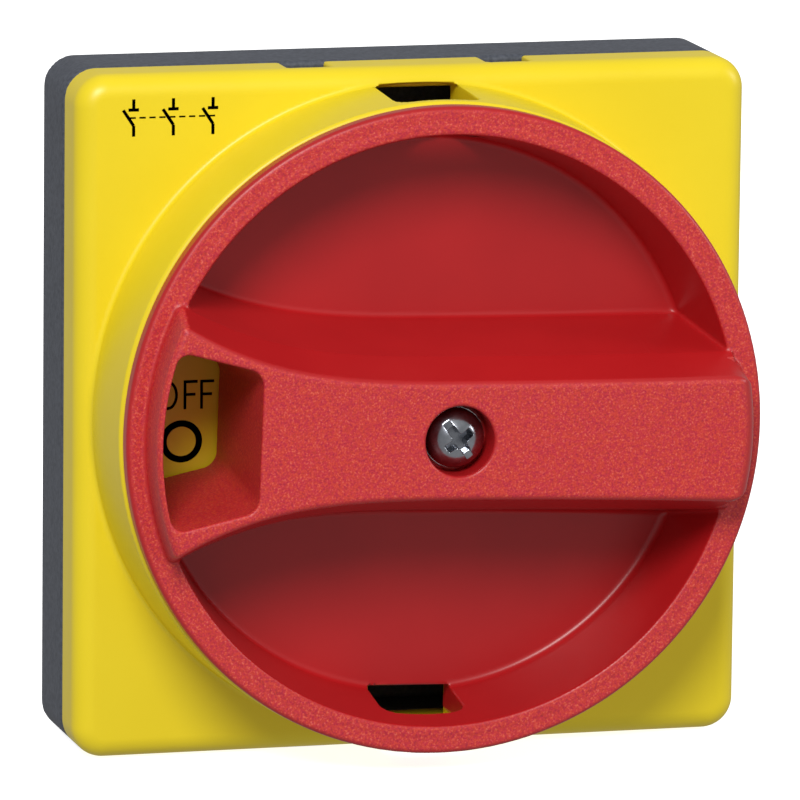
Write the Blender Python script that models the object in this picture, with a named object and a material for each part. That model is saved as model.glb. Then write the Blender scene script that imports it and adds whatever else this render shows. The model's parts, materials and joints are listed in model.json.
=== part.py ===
"""Panel-mounted rotary isolator: a padlockable front operator and a three-pole contact block.

The frame has +Z up, +X to the right and the front facing -Y. The origin is on the knob's axis,
in the plane where the mounting base meets the panel. The panel itself is 3 mm thick and fills
the space between y = 0 and y = 3 mm. The knob is drawn in its OFF position, window to the left,
and turns 90 degrees clockwise, as seen from the front, to ON.

Every size below is in millimetres. store_mesh turns the finished shapes into metres.
"""
import math

import bmesh
import bpy

MM = 0.001
GAP = 0.3

# Mounting base, behind the front cover
PLATE_HALF = 32.5
PLATE_CORNER = 3.0
BASE_FRONT = -8.4
BASE_FLOOR = -3.0
WALL_HALF_IN = 30.3
WALL_CORNER_IN = 1.2
BOSS_R = 11.5
BOSS_FRONT = -8.0
JOURNAL_BORE_R = 9.0
FIX_PITCH_HALF = 18.0
FIX_HOLE_R = 2.3
GASKET_OUT = 29.7
GASKET_IN = 27.3
GASKET_DEPTH = 1.2

# Front cover
COVER_REAR = -8.7
COVER_FACE = -14.5
COVER_UNDER = -12.0
COVER_FILLET = 2.0
COVER_BORE_R = 9.8
COLLAR_OUT_BASE = 31.1
COLLAR_OUT_TOP = 30.8
COLLAR_IN = 29.4
COLLAR_TOP = -24.5
SLOT_HALF_WIDTH = 4.0
SLOT_TOP = -23.3
SLOT_INNER_Z = 26.2
SLOT_OUTER_R = 31.0
NOTCH_X = 9.7
NOTCH_HALF_WIDTH = 2.15
NOTCH_TOP = -12.2

# Knob, which rests turned within its play on the coupler's square head
KNOB_PLAY = 1.8
BARREL_R = 29.1
KNOB_REAR = -15.0
DISH_FLOOR = -17.0
DISH_FLOOR_R = 26.6
RIM_REAR = -24.9
RIM_FRONT = -26.8
RIM_OUT = 30.65
RIM_IN = 28.0
RIM_CHAMFER = 0.5
BAR_FRONT = -31.5
BAR_HALF = 5.5
BAR_FLARE = 5.6
BAR_FLARE_LENGTH = 27.0
BAR_FLARE_RIGHT = 0.35
BAR_END_R = 28.85
WINDOW_END_R = 28.2
WINDOW_RIGHT = -19.0
WINDOW_HALF = (8.6, 6.4)
COUNTERBORE_R = 3.3
COUNTERBORE_FLOOR = -28.2
UPPER_HOLE_FROM = 26.8
LOWER_HOLE_FROM = 26.1

# Drive
COUPLER_HEAD_HALF = 5.0
COUPLER_FRONT = -20.7
COUPLER_SHOULDER = -14.2
COUPLER_REAR = -0.5
COUPLER_R = 8.7
SEAL_MID_R = 8.15
SEAL_WIRE_R = 0.55
SEAL_Y = -5.0
SHAFT_HALF = 3.0
SHAFT_FRONT = -5.7
SHAFT_REAR = 38.4
SQUARE_BORE_HALF = SHAFT_HALF + GAP

# Latch behind the panel
FLANGE_HALF = 24.0
FLANGE_Y = (3.0, 6.0)
FLANGE_BORE_R = 9.0
INSERT_BOSS_R = 4.5
INSERT_BOSS_REAR = 10.0
INSERT_R = 2.9
LATCH_HALF = 19.0
LATCH_Y = (6.3, 14.2)
LATCH_FLOOR = 13.2
LATCH_IN_R = 14.0
DETENT_Y = (6.6, 12.9)
DETENT_R = 13.7
DETENT_MID = 9.75
BALL_R = 1.8
BALL_AT = 11.85
BALL_HOLE_R = 2.1
GROOVE_AT = 12.9
GROOVE_R = 2.15
STOP_PIN_AT = 8.5
STOP_PIN_R = 1.2
SPRING_R = 1.35
SPRING_WIRE_R = 0.3
SPRING_X = (5.5, 9.4)

# Contact decks
DECK_COUNT = 3
DECK_FIRST = 14.5
DECK_LENGTH = 7.3
DECK_HALF = 20.0
DECK_CORNER = 2.0
DECK_CAVITY_R = 12.8
DECK_WEB = 1.0
SHAFT_BORE_R = 5.2
POCKET_HALF_WIDTH = 3.2
POCKET_REAR = 6.1
ROTOR_R = 9.5
ROTOR_Y = (0.3, 5.9)
BLADE_Y = (2.3, 3.3)
BLADE_TIP_R = 12.4
BLADE_HALF_WIDTH = 2.5
BLADE_RING = (5.6, 7.2)
JAW_INNER_Z = 10.6
TERMINAL_Z = (14.0, 15.8)
TERMINAL_Y = (0.6, 5.8)
TERMINAL_MID = 3.2
TIE_AT = 15.5
TIE_HOLE_R = 1.8
TIE_R = 1.5
CAP_LENGTH = 2.8

SMALL_HOLE_R = 1.5
SMALL_SHANK_R = 1.2
M3_SHANK_R = 1.5
M3_HOLE_R = 1.8
M4_SHANK_R = 1.9

ROUND = 48
MEDIUM = 28
SMALL = 12

MATERIALS = {
    "grey_plastic": ((0.075, 0.085, 0.105), 0.55, 0.0),
    "yellow_plastic": ((0.80, 0.62, 0.03), 0.40, 0.0),
    "red_plastic": ((0.55, 0.03, 0.03), 0.45, 0.0),
    "black_rubber": ((0.02, 0.02, 0.02), 0.85, 0.0),
    "zinc_steel": ((0.62, 0.63, 0.64), 0.30, 1.0),
    "brass": ((0.75, 0.55, 0.22), 0.35, 1.0),
    "copper": ((0.80, 0.42, 0.28), 0.35, 1.0),
    "spring_steel": ((0.50, 0.50, 0.52), 0.30, 1.0),
    "black_plastic": ((0.03, 0.03, 0.035), 0.50, 0.0),
    "light_plastic": ((0.62, 0.62, 0.60), 0.55, 0.0),
}


# ---------------------------------------------------------------- shapes, in millimetres

def turned(outline, segments=ROUND):
    """Revolve (radius, y) points about the Y axis. An outline that ends on the axis stays open there."""
    shape = bmesh.new()
    points = [shape.verts.new((radius, y, 0.0)) for radius, y in outline]
    following = points[1:] + points[:1]
    edges = [
        shape.edges.new((start, end))
        for start, end in zip(points, following)
        if start.co.x > 0.0 or end.co.x > 0.0
    ]
    bmesh.ops.spin(
        shape, geom=points + edges, axis=(0.0, 1.0, 0.0), cent=(0.0, 0.0, 0.0),
        angle=2.0 * math.pi, steps=segments, use_merge=True,
    )
    return shape


def loft(rings):
    """Join (y, [(x, z), ...]) rings of equal length into one closed body."""
    shape = bmesh.new()
    loops = [[shape.verts.new((x, y, z)) for x, z in points] for y, points in rings]
    for near, far in zip(loops, loops[1:]):
        for index in range(len(near)):
            after = (index + 1) % len(near)
            shape.faces.new((near[index], near[after], far[after], far[index]))
    shape.faces.new(loops[0])
    shape.faces.new(loops[-1])
    return shape


def extruded(points, axis, low, high):
    """Extrude a polygon along one axis. Its points are the other two coordinates, in X, Y, Z order."""
    place = {
        "X": lambda a, b, h: (h, a, b),
        "Y": lambda a, b, h: (a, h, b),
        "Z": lambda a, b, h: (a, b, h),
    }[axis]
    shape = bmesh.new()
    ends = [[shape.verts.new(place(a, b, height)) for a, b in points] for height in (low, high)]
    for index in range(len(points)):
        after = (index + 1) % len(points)
        shape.faces.new((ends[0][index], ends[0][after], ends[1][after], ends[1][index]))
    shape.faces.new(ends[0])
    shape.faces.new(ends[1])
    return shape


def block(x, y, z):
    return extruded([(x[0], z[0]), (x[1], z[0]), (x[1], z[1]), (x[0], z[1])], "Y", *y)


def circle(radius, segments, centre=(0.0, 0.0)):
    return [
        (
            centre[0] + radius * math.cos(2.0 * math.pi * step / segments),
            centre[1] + radius * math.sin(2.0 * math.pi * step / segments),
        )
        for step in range(segments)
    ]


def rod(axis, centre, radius, low, high, segments=SMALL):
    return extruded(circle(radius, segments, centre), axis, low, high)


def rounded_square(half, corner, corner_points=5):
    points = []
    for quarter, (side_x, side_z) in enumerate(((1, 1), (-1, 1), (-1, -1), (1, -1))):
        for step in range(corner_points):
            angle = math.radians(90.0 * (quarter + step / (corner_points - 1)))
            points.append((
                side_x * (half - corner) + corner * math.cos(angle),
                side_z * (half - corner) + corner * math.sin(angle),
            ))
    return points


def ring_prism(outer, inner, low, high):
    """A frame between two outlines of equal length, extruded along Y."""
    shape = bmesh.new()
    loops = [
        [shape.verts.new((x, y, z)) for x, z in points]
        for points, y in ((outer, low), (outer, high), (inner, high), (inner, low))
    ]
    for here, there in zip(loops, loops[1:] + loops[:1]):
        for index in range(len(here)):
            after = (index + 1) % len(here)
            shape.faces.new((here[index], here[after], there[after], there[index]))
    return shape


def ring_sector(inner, outer, start, end, low, high, steps=12):
    """Part of a flat ring about the Y axis, with angles in degrees from +X towards +Z."""
    angles = [math.radians(start + (end - start) * step / steps) for step in range(steps + 1)]
    points = [(outer * math.cos(angle), outer * math.sin(angle)) for angle in angles]
    points += [(inner * math.cos(angle), inner * math.sin(angle)) for angle in reversed(angles)]
    return extruded(points, "Y", low, high)


def coil(radius, wire, start, end, turns=4, steps=10, sides=4):
    """A round wire wound about the X axis, with capped ends."""
    shape = bmesh.new()
    rings = []
    for step in range(turns * steps + 1):
        angle = 2.0 * math.pi * step / steps
        along = start + (end - start) * step / (turns * steps)
        ring = []
        for side in range(sides):
            tilt = 2.0 * math.pi * side / sides
            reach = radius + wire * math.cos(tilt)
            ring.append(shape.verts.new((
                along + wire * math.sin(tilt), reach * math.cos(angle), reach * math.sin(angle),
            )))
        rings.append(ring)
    for near, far in zip(rings, rings[1:]):
        for side in range(sides):
            after = (side + 1) % sides
            shape.faces.new((near[side], near[after], far[after], far[side]))
    shape.faces.new(rings[0])
    shape.faces.new(rings[-1])
    return shape


# ---------------------------------------------------------------- meshes and objects

def store_mesh(name, shape):
    bmesh.ops.remove_doubles(shape, verts=shape.verts, dist=0.001)
    bmesh.ops.recalc_face_normals(shape, faces=shape.faces)
    bmesh.ops.scale(shape, vec=(MM, MM, MM), verts=shape.verts)
    mesh = bpy.data.meshes.new(name)
    shape.to_mesh(mesh)
    shape.free()
    return mesh


def link(name, mesh):
    thing = bpy.data.objects.new(name, mesh)
    bpy.context.collection.objects.link(thing)
    return thing


def solid(name, shape, steps=()):
    """The mesh of a shape after ("UNION" or "DIFFERENCE", other shape) steps, in that order."""
    work = link(name + "_work", store_mesh(name, shape))
    helpers = []
    for operation, other in steps:
        helper = link(name + "_helper", store_mesh(name + "_helper", other))
        modifier = work.modifiers.new(operation, "BOOLEAN")
        modifier.operation = operation
        modifier.solver = "EXACT"
        modifier.object = helper
        helpers.append(helper)
    mesh = bpy.data.meshes.new_from_object(work.evaluated_get(bpy.context.evaluated_depsgraph_get()))
    mesh.name = name
    for thing in (work, *helpers):
        bpy.data.objects.remove(thing)
    mesh.shade_smooth()
    mesh.set_sharp_from_angle(angle=math.radians(30.0))
    return mesh


def material(name):
    found = bpy.data.materials.get(name)
    if found:
        return found
    colour, roughness, metallic = MATERIALS[name]
    made = bpy.data.materials.new(name)
    made.use_nodes = True
    shader = made.node_tree.nodes["Principled BSDF"]
    shader.inputs["Base Color"].default_value = (*colour, 1.0)
    shader.inputs["Roughness"].default_value = roughness
    shader.inputs["Metallic"].default_value = metallic
    made.diffuse_color = (*colour, 1.0)
    return made


def piece(name, mesh, finish, at=(0.0, 0.0, 0.0), turn=(0.0, 0.0, 0.0), parent=None):
    """One named sub-part at a place in millimetres, turned by degrees about X, Y and Z."""
    thing = link(name, mesh)
    if not mesh.materials:
        mesh.materials.append(material(finish))
    thing.location = [value * MM for value in at]
    thing.rotation_euler = [math.radians(value) for value in turn]
    thing.parent = parent
    return thing


def axis_empty(name, at=(0.0, 0.0, 0.0), parent=None):
    empty = link(name, None)
    empty.location = [value * MM for value in at]
    empty.parent = parent
    return empty


# ---------------------------------------------------------------- front operator

def fixing_places():
    return [(x * FIX_PITCH_HALF, z * FIX_PITCH_HALF) for z in (1, -1) for x in (-1, 1)]


def cover_hook(side):
    """A snap hook on the base wall, whose lip stands in a notch of the cover. side is +1 at the top."""
    outline = [
        (-2.5, 28.0), (-2.5, 31.0), (-8.2, 31.0), (-8.2, 29.9), (-9.6, 29.9), (-9.6, 31.6),
        (-11.4, 30.4), (-11.4, 28.0),
    ]
    return [(y, side * z) for y, z in outline]


def mounting_base():
    steps = [
        ("DIFFERENCE", loft([
            (BASE_FLOOR, rounded_square(WALL_HALF_IN, WALL_CORNER_IN)),
            (BASE_FRONT - 1.0, rounded_square(WALL_HALF_IN, WALL_CORNER_IN)),
        ])),
        ("UNION", turned([(0.0, -1.0), (BOSS_R, -1.0), (BOSS_R, BOSS_FRONT), (0.0, BOSS_FRONT)], MEDIUM)),
        ("DIFFERENCE", rod("Y", (0.0, 0.0), JOURNAL_BORE_R, -9.0, 1.0, MEDIUM)),
        ("DIFFERENCE", ring_prism(
            rounded_square(GASKET_OUT + GAP, 2.0), rounded_square(GASKET_IN - GAP, 1.5),
            -GASKET_DEPTH - GAP, 1.0,
        )),
    ]
    hook_half = NOTCH_HALF_WIDTH - GAP
    for side_z in (1, -1):
        for side_x in (-1, 1):
            centre = side_x * NOTCH_X
            hook = extruded(cover_hook(side_z), "X", centre - hook_half, centre + hook_half)
            steps.append(("UNION", hook))
    steps += [("DIFFERENCE", rod("Y", place, FIX_HOLE_R, -9.0, 1.0)) for place in fixing_places()]
    outside = rounded_square(PLATE_HALF, PLATE_CORNER)
    chamfered = rounded_square(PLATE_HALF - 0.5, PLATE_CORNER - 0.5)
    body = loft([(0.0, outside), (BASE_FRONT + 0.5, outside), (BASE_FRONT, chamfered)])
    piece("mounting_base", solid("mounting_base", body, steps), "grey_plastic")


def panel_gasket():
    ring = ring_prism(
        rounded_square(GASKET_OUT, 1.7), rounded_square(GASKET_IN, 1.2), -GASKET_DEPTH, 0.0,
    )
    piece("panel_gasket", solid("panel_gasket", ring), "black_rubber")


def fixing_screws():
    outline = [
        (0.0, 9.2), (M4_SHANK_R - 0.4, 9.2), (M4_SHANK_R, 8.6), (M4_SHANK_R, -3.3), (3.7, -3.3),
        (3.7, -4.6), (2.6, -5.7), (0.0, -5.7),
    ]
    mesh = solid("fixing_screw", turned(outline, SMALL), [
        ("DIFFERENCE", block((-0.5, 0.5), (-6.0, -4.7), (-2.2, 2.2))),
        ("DIFFERENCE", block((-2.2, 2.2), (-6.0, -4.7), (-0.5, 0.5))),
    ])
    for number, (x, z) in enumerate(fixing_places(), 1):
        piece(f"fixing_screw_{number}", mesh, "zinc_steel", at=(x, 0.0, z))


def slot_through_face(side):
    """The padlock slot's outline where it passes through the cover's face, inside the collar's foot."""
    swing = math.asin(SLOT_HALF_WIDTH / SLOT_OUTER_R)
    arc = [
        (SLOT_OUTER_R * math.sin(swing * step / 3), side * SLOT_OUTER_R * math.cos(swing * step / 3))
        for step in range(3, -4, -1)
    ]
    foot = side * SLOT_INNER_Z
    return [(-SLOT_HALF_WIDTH, foot), (SLOT_HALF_WIDTH, foot), *arc]


def front_cover():
    plate = [(COVER_REAR, rounded_square(PLATE_HALF, PLATE_CORNER))]
    for step in range(5):
        angle = math.radians(90.0 * step / 4)
        inset = COVER_FILLET * (1.0 - math.cos(angle))
        y = COVER_FACE + COVER_FILLET * (1.0 - math.sin(angle))
        plate.append((y, rounded_square(PLATE_HALF - inset, PLATE_CORNER - inset * 0.8)))
    steps = [
        ("UNION", turned([
            (COLLAR_IN, COVER_FACE + 0.5), (COLLAR_OUT_BASE, COVER_FACE + 0.5),
            (COLLAR_OUT_TOP, COLLAR_TOP), (COLLAR_IN, COLLAR_TOP),
        ])),
        ("DIFFERENCE", loft([
            (COVER_UNDER, rounded_square(WALL_HALF_IN, WALL_CORNER_IN)),
            (COVER_REAR + 1.0, rounded_square(WALL_HALF_IN, WALL_CORNER_IN)),
        ])),
        ("DIFFERENCE", rod("Y", (0.0, 0.0), COVER_BORE_R, -16.0, -11.0, MEDIUM)),
    ]
    slot_x = (-SLOT_HALF_WIDTH, SLOT_HALF_WIDTH)
    for side in (1, -1):
        low, high = sorted((side * SLOT_INNER_Z, side * 33.0))
        steps.append(("DIFFERENCE", block(slot_x, (SLOT_TOP, COVER_FACE - 0.1), (low, high))))
        through = slot_through_face(side)
        steps.append(("DIFFERENCE", extruded(through, "Y", COVER_FACE - 0.5, COVER_UNDER + 0.1)))
        wall_low, wall_high = sorted((side * 29.5, side * 33.5))
        for centre in (-NOTCH_X, NOTCH_X):
            notch_x = (centre - NOTCH_HALF_WIDTH, centre + NOTCH_HALF_WIDTH)
            steps.append(("DIFFERENCE", block(notch_x, (NOTCH_TOP, COVER_REAR + 1.0), (wall_low, wall_high))))
    piece("front_cover", solid("front_cover", loft(plate), steps), "yellow_plastic")


# ---------------------------------------------------------------- knob

def bar_half_height(x):
    """Half the grip bar's height at its front, flaring strongly towards the window end."""
    left = max(0.0, -x) / BAR_FLARE_LENGTH
    right = max(0.0, x) / BAR_FLARE_LENGTH
    return BAR_HALF + BAR_FLARE * left ** 3 + BAR_FLARE_RIGHT * right ** 2


def bar_corner(side, grow, end_radius):
    """Where the bar's flank meets its round end, on the side of +X or -X."""
    x = side * end_radius
    for _ in range(12):
        x = side * math.sqrt(end_radius ** 2 - (bar_half_height(x) + grow) ** 2)
    return x


def bar_outline(grow, left_radius, right_radius, flank_points=14, end_points=5):
    """The grip bar's outline, widened by grow on each flank, with its two round ends."""
    right = bar_corner(1, grow, right_radius)
    left = bar_corner(-1, grow, left_radius)
    upper = []
    for step in range(flank_points + 1):
        x = right + (left - right) * step / flank_points
        upper.append((x, bar_half_height(x) + grow))
    ends = []
    for (x, z), end_radius in ((upper[-1], left_radius), (upper[0], right_radius)):
        swing = math.atan2(z, x)
        turn = 2.0 * (math.pi - swing) if x < 0.0 else 2.0 * swing
        start = swing if x < 0.0 else -swing
        ends.append([
            (end_radius * math.cos(start + turn * step / end_points),
             end_radius * math.sin(start + turn * step / end_points))
            for step in range(1, end_points)
        ])
    lower = [(x, -z) for x, z in reversed(upper)]
    return upper + ends[0] + lower + ends[1]


def window_outline(end_radius, right, half_left, half_right, end_points=6):
    """The window's outline: flanks that spread to the left and an end concentric with the knob."""
    swing = math.asin(half_left / end_radius)
    end = [
        (-end_radius * math.cos(swing * turn), end_radius * math.sin(swing * turn))
        for turn in (1.0 - 2.0 * step / end_points for step in range(end_points + 1))
    ]
    return [*end, (right, -half_right), (right, half_right)]


def knob(parent):
    dish = turned([
        (0.0, KNOB_REAR), (BARREL_R, KNOB_REAR), (BARREL_R, RIM_REAR), (RIM_OUT, RIM_REAR),
        (RIM_OUT, RIM_FRONT + RIM_CHAMFER), (RIM_OUT - RIM_CHAMFER, RIM_FRONT), (RIM_IN, RIM_FRONT),
        (DISH_FLOOR_R, DISH_FLOOR), (0.0, DISH_FLOOR),
    ])
    bar = loft([
        (-16.0, bar_outline(3.4, 28.0, 28.0)),
        (RIM_FRONT + 0.4, bar_outline(1.9, 28.4, 28.4)),
        (RIM_FRONT, bar_outline(1.75, BAR_END_R, BAR_END_R)),
        (-29.7, bar_outline(0.68, BAR_END_R, BAR_END_R)),
        (-30.9, bar_outline(0.24, BAR_END_R, BAR_END_R - 0.55)),
        (BAR_FRONT + 0.2, bar_outline(0.05, BAR_END_R - 0.2, BAR_END_R - 1.2)),
        (BAR_FRONT, bar_outline(-0.15, BAR_END_R - 0.5, BAR_END_R - 1.9)),
    ])
    window = loft([
        (-13.0, window_outline(WINDOW_END_R - 1.0, WINDOW_RIGHT - 0.1, WINDOW_HALF[0] - 1.6, WINDOW_HALF[1] - 1.3)),
        (-33.0, window_outline(WINDOW_END_R, WINDOW_RIGHT, *WINDOW_HALF)),
    ])
    head_half = COUPLER_HEAD_HALF + GAP
    steps = [
        ("UNION", bar),
        ("DIFFERENCE", window),
        ("DIFFERENCE", rod("Y", (0.0, 0.0), COUNTERBORE_R, -33.0, COUNTERBORE_FLOOR, MEDIUM)),
        ("DIFFERENCE", block((-head_half, head_half), (COUPLER_FRONT - GAP, -13.0), (-head_half, head_half))),
        ("DIFFERENCE", rod("Y", (0.0, 0.0), M3_HOLE_R, -29.0, -20.0)),
    ]
    slot_x = (-SLOT_HALF_WIDTH, SLOT_HALF_WIDTH)
    for span in ((UPPER_HOLE_FROM, 32.0), (-32.0, -LOWER_HOLE_FROM)):
        steps.append(("DIFFERENCE", block(slot_x, (SLOT_TOP, -13.0), span)))
    piece("knob", solid("knob", dish, steps), "red_plastic", turn=(0.0, KNOB_PLAY, 0.0), parent=parent)


def knob_fasteners(parent):
    head = [
        (0.0, -14.5), (M3_SHANK_R - 0.3, -14.5), (M3_SHANK_R, -15.0), (M3_SHANK_R, -29.3), (2.75, -29.3),
        (2.75, -30.1), (2.3, -30.8), (1.4, -31.1), (0.0, -31.2),
    ]
    screw = solid("knob_screw", turned(head, 24), [
        ("DIFFERENCE", block((-2.0, 2.0), (-32.0, -30.0), (-0.4, 0.4))),
        ("DIFFERENCE", block((-0.4, 0.4), (-32.0, -30.0), (-1.4, 1.4))),
    ])
    piece("knob_screw", screw, "zinc_steel", turn=(0.0, -35.0, 0.0), parent=parent)
    washer = turned([(1.8, -28.5), (2.9, -28.5), (2.9, -29.0), (1.8, -29.0)], 24)
    piece("knob_lock_washer", solid("knob_lock_washer", washer), "zinc_steel", parent=parent)


def drive_coupler(parent):
    groove_r = SEAL_MID_R - SEAL_WIRE_R - GAP
    groove_half = SEAL_WIRE_R + GAP
    journal = turned([
        (0.0, COUPLER_REAR), (COUPLER_R, COUPLER_REAR), (COUPLER_R, SEAL_Y + groove_half),
        (groove_r, SEAL_Y + groove_half), (groove_r, SEAL_Y - groove_half), (COUPLER_R, SEAL_Y - groove_half),
        (COUPLER_R, COUPLER_SHOULDER), (0.0, COUPLER_SHOULDER),
    ], MEDIUM)
    head = (-COUPLER_HEAD_HALF, COUPLER_HEAD_HALF)
    bore = (-SQUARE_BORE_HALF, SQUARE_BORE_HALF)
    mesh = solid("drive_coupler", journal, [
        ("UNION", block(head, (COUPLER_FRONT, COUPLER_SHOULDER + 1.0), head)),
        ("DIFFERENCE", block(bore, (SHAFT_FRONT - GAP, 1.0), bore)),
        ("DIFFERENCE", rod("Y", (0.0, 0.0), M3_HOLE_R, -22.0, -13.0)),
    ])
    piece("drive_coupler", mesh, "black_plastic", parent=parent)
    seal = turned([
        (SEAL_MID_R + SEAL_WIRE_R * math.cos(angle), SEAL_Y + SEAL_WIRE_R * math.sin(angle))
        for angle in (math.pi * step / 3.0 for step in range(6))
    ], MEDIUM)
    piece("knob_seal_ring", solid("knob_seal_ring", seal), "black_rubber", parent=parent)


def drive_shaft(parent):
    edge = SHAFT_HALF
    flat = SHAFT_HALF - 0.4
    outline = [
        (-flat, -edge), (flat, -edge), (edge, -flat), (edge, flat),
        (flat, edge), (-flat, edge), (-edge, flat), (-edge, -flat),
    ]
    mesh = solid("drive_shaft", extruded(outline, "Y", SHAFT_FRONT, SHAFT_REAR))
    piece("drive_shaft", mesh, "zinc_steel", parent=parent)


# ---------------------------------------------------------------- latch

def switch_flange():
    steps = []
    for place in fixing_places():
        steps.append(("UNION", rod("Y", place, INSERT_BOSS_R, 5.0, INSERT_BOSS_REAR)))
    for place in fixing_places():
        steps.append(("DIFFERENCE", rod("Y", place, INSERT_R + GAP, 3.3, 11.0)))
        steps.append(("DIFFERENCE", rod("Y", place, FIX_HOLE_R, 2.0, 5.0)))
    steps.append(("DIFFERENCE", rod("Y", (0.0, 0.0), FLANGE_BORE_R, 2.0, 7.0, MEDIUM)))
    plate = extruded(rounded_square(FLANGE_HALF, 4.0), "Y", *FLANGE_Y)
    piece("switch_flange", solid("switch_flange", plate, steps), "grey_plastic")
    insert = turned([(2.2, 3.6), (INSERT_R, 3.6), (INSERT_R, 9.7), (2.2, 9.7)], SMALL)
    mesh = solid("threaded_insert", insert)
    for number, (x, z) in enumerate(fixing_places(), 1):
        piece(f"threaded_insert_{number}", mesh, "brass", at=(x, 0.0, z))


def latch_housing():
    steps = [("DIFFERENCE", rod("Y", (0.0, 0.0), LATCH_IN_R, 5.0, LATCH_FLOOR, ROUND))]
    for place in fixing_places():
        steps.append(("DIFFERENCE", rod("Y", place, INSERT_BOSS_R + 0.4, 5.0, INSERT_BOSS_REAR + GAP)))
    for x, z in ((1, 0), (0, 1), (-1, 0), (0, -1)):
        place = (x * GROOVE_AT, z * GROOVE_AT)
        steps.append(("DIFFERENCE", rod("Y", place, GROOVE_R, 5.0, LATCH_FLOOR)))
    pin_at = [STOP_PIN_AT * math.cos(math.radians(45.0))] * 2
    steps += [
        ("UNION", rod("Y", pin_at, STOP_PIN_R, 11.2, LATCH_FLOOR + 0.5)),
        ("DIFFERENCE", rod("Y", (0.0, 0.0), SHAFT_BORE_R, 12.0, 15.0, MEDIUM)),
    ]
    for x, z in tie_places():
        steps.append(("DIFFERENCE", rod("Y", (x, z), TIE_HOLE_R, 10.9, 15.0)))
    body = extruded(rounded_square(LATCH_HALF, 2.0), "Y", *LATCH_Y)
    piece("latch_housing", solid("latch_housing", body, steps), "black_plastic")


def detent_rotor(parent):
    bore = (-SQUARE_BORE_HALF, SQUARE_BORE_HALF)
    half_slot = math.degrees((STOP_PIN_R + GAP) / STOP_PIN_AT)
    slot_r = (STOP_PIN_AT - STOP_PIN_R - GAP, STOP_PIN_AT + STOP_PIN_R + GAP)
    steps = [
        ("DIFFERENCE", block(bore, (5.0, 14.0), bore)),
        ("DIFFERENCE", ring_sector(*slot_r, 45.0 - half_slot, 135.0 + half_slot, 10.9, 14.0)),
        ("DIFFERENCE", rod("X", (DETENT_MID, 0.0), BALL_HOLE_R, 5.0, 15.0)),
        ("DIFFERENCE", rod("X", (DETENT_MID, 0.0), BALL_HOLE_R, -15.0, -5.0)),
    ]
    body = turned([(0.0, DETENT_Y[0]), (0.0, DETENT_Y[1]), (DETENT_R, DETENT_Y[1]), (DETENT_R, DETENT_Y[0])])
    piece("detent_rotor", solid("detent_rotor", body, steps), "light_plastic", parent=parent)


def detent_springs_and_balls(parent):
    spring = solid("detent_spring", coil(SPRING_R, SPRING_WIRE_R, *SPRING_X))
    sphere = bmesh.new()
    bmesh.ops.create_uvsphere(sphere, u_segments=16, v_segments=10, radius=BALL_R)
    ball = solid("detent_ball", sphere)
    for number, side in enumerate((1, -1), 1):
        turn = (0.0, 0.0, 0.0 if side > 0 else 180.0)
        piece(f"detent_spring_{number}", spring, "spring_steel", (0.0, DETENT_MID, 0.0), turn, parent)
        slide = axis_empty(f"detent_ball_{number}_slide", (side * BALL_AT, DETENT_MID, 0.0), parent)
        piece(f"detent_ball_{number}", ball, "zinc_steel", parent=slide)


# ---------------------------------------------------------------- contact decks

def tie_places():
    return [(-TIE_AT, TIE_AT), (TIE_AT, -TIE_AT)]


def deck_housing_mesh():
    steps = [
        ("DIFFERENCE", rod("Y", (0.0, 0.0), DECK_CAVITY_R, -1.0, DECK_LENGTH - DECK_WEB, ROUND)),
        ("DIFFERENCE", rod("Y", (0.0, 0.0), SHAFT_BORE_R, 5.0, DECK_LENGTH + 1.0, MEDIUM)),
    ]
    pocket_x = (-POCKET_HALF_WIDTH, POCKET_HALF_WIDTH)
    for side in (1, -1):
        low, high = sorted((side * (JAW_INNER_Z - 0.2), side * (DECK_HALF + 1.0)))
        steps.append(("DIFFERENCE", block(pocket_x, (-1.0, POCKET_REAR), (low, high))))
    steps += [("DIFFERENCE", rod("Y", place, TIE_HOLE_R, -1.0, DECK_LENGTH + 1.0)) for place in tie_places()]
    body = extruded(rounded_square(DECK_HALF, DECK_CORNER), "Y", 0.0, DECK_LENGTH)
    return solid("deck_housing", body, steps)


def contact_rotor_mesh():
    bore = (-SQUARE_BORE_HALF, SQUARE_BORE_HALF)
    arm = BLADE_HALF_WIDTH + GAP
    pocket_y = (-1.0, BLADE_Y[1] + GAP)
    ring_in, ring_out = BLADE_RING[0] - GAP, BLADE_RING[1] + GAP
    body = turned([(0.0, ROTOR_Y[0]), (0.0, ROTOR_Y[1]), (ROTOR_R, ROTOR_Y[1]), (ROTOR_R, ROTOR_Y[0])], MEDIUM)
    return solid("contact_rotor", body, [
        ("DIFFERENCE", ring_prism(circle(ring_out, 24), circle(ring_in, 24), *pocket_y)),
        ("DIFFERENCE", block((ring_in + 0.4, ROTOR_R + 1.0), pocket_y, (-arm, arm))),
        ("DIFFERENCE", block((-ROTOR_R - 1.0, -ring_in - 0.4), pocket_y, (-arm, arm))),
        ("DIFFERENCE", block(bore, (-1.0, DECK_LENGTH), bore)),
    ])


def contact_blade_mesh():
    arm = (-BLADE_HALF_WIDTH, BLADE_HALF_WIDTH)
    tip = BLADE_TIP_R - 0.4
    return solid("contact_blade", block((-tip, tip), BLADE_Y, arm), [
        ("UNION", rod("Y", (0.0, 0.0), BLADE_RING[1], BLADE_Y[0], BLADE_Y[1], 24)),
        ("DIFFERENCE", rod("Y", (0.0, 0.0), BLADE_RING[0], 1.0, 5.0, 24)),
    ])


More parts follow.
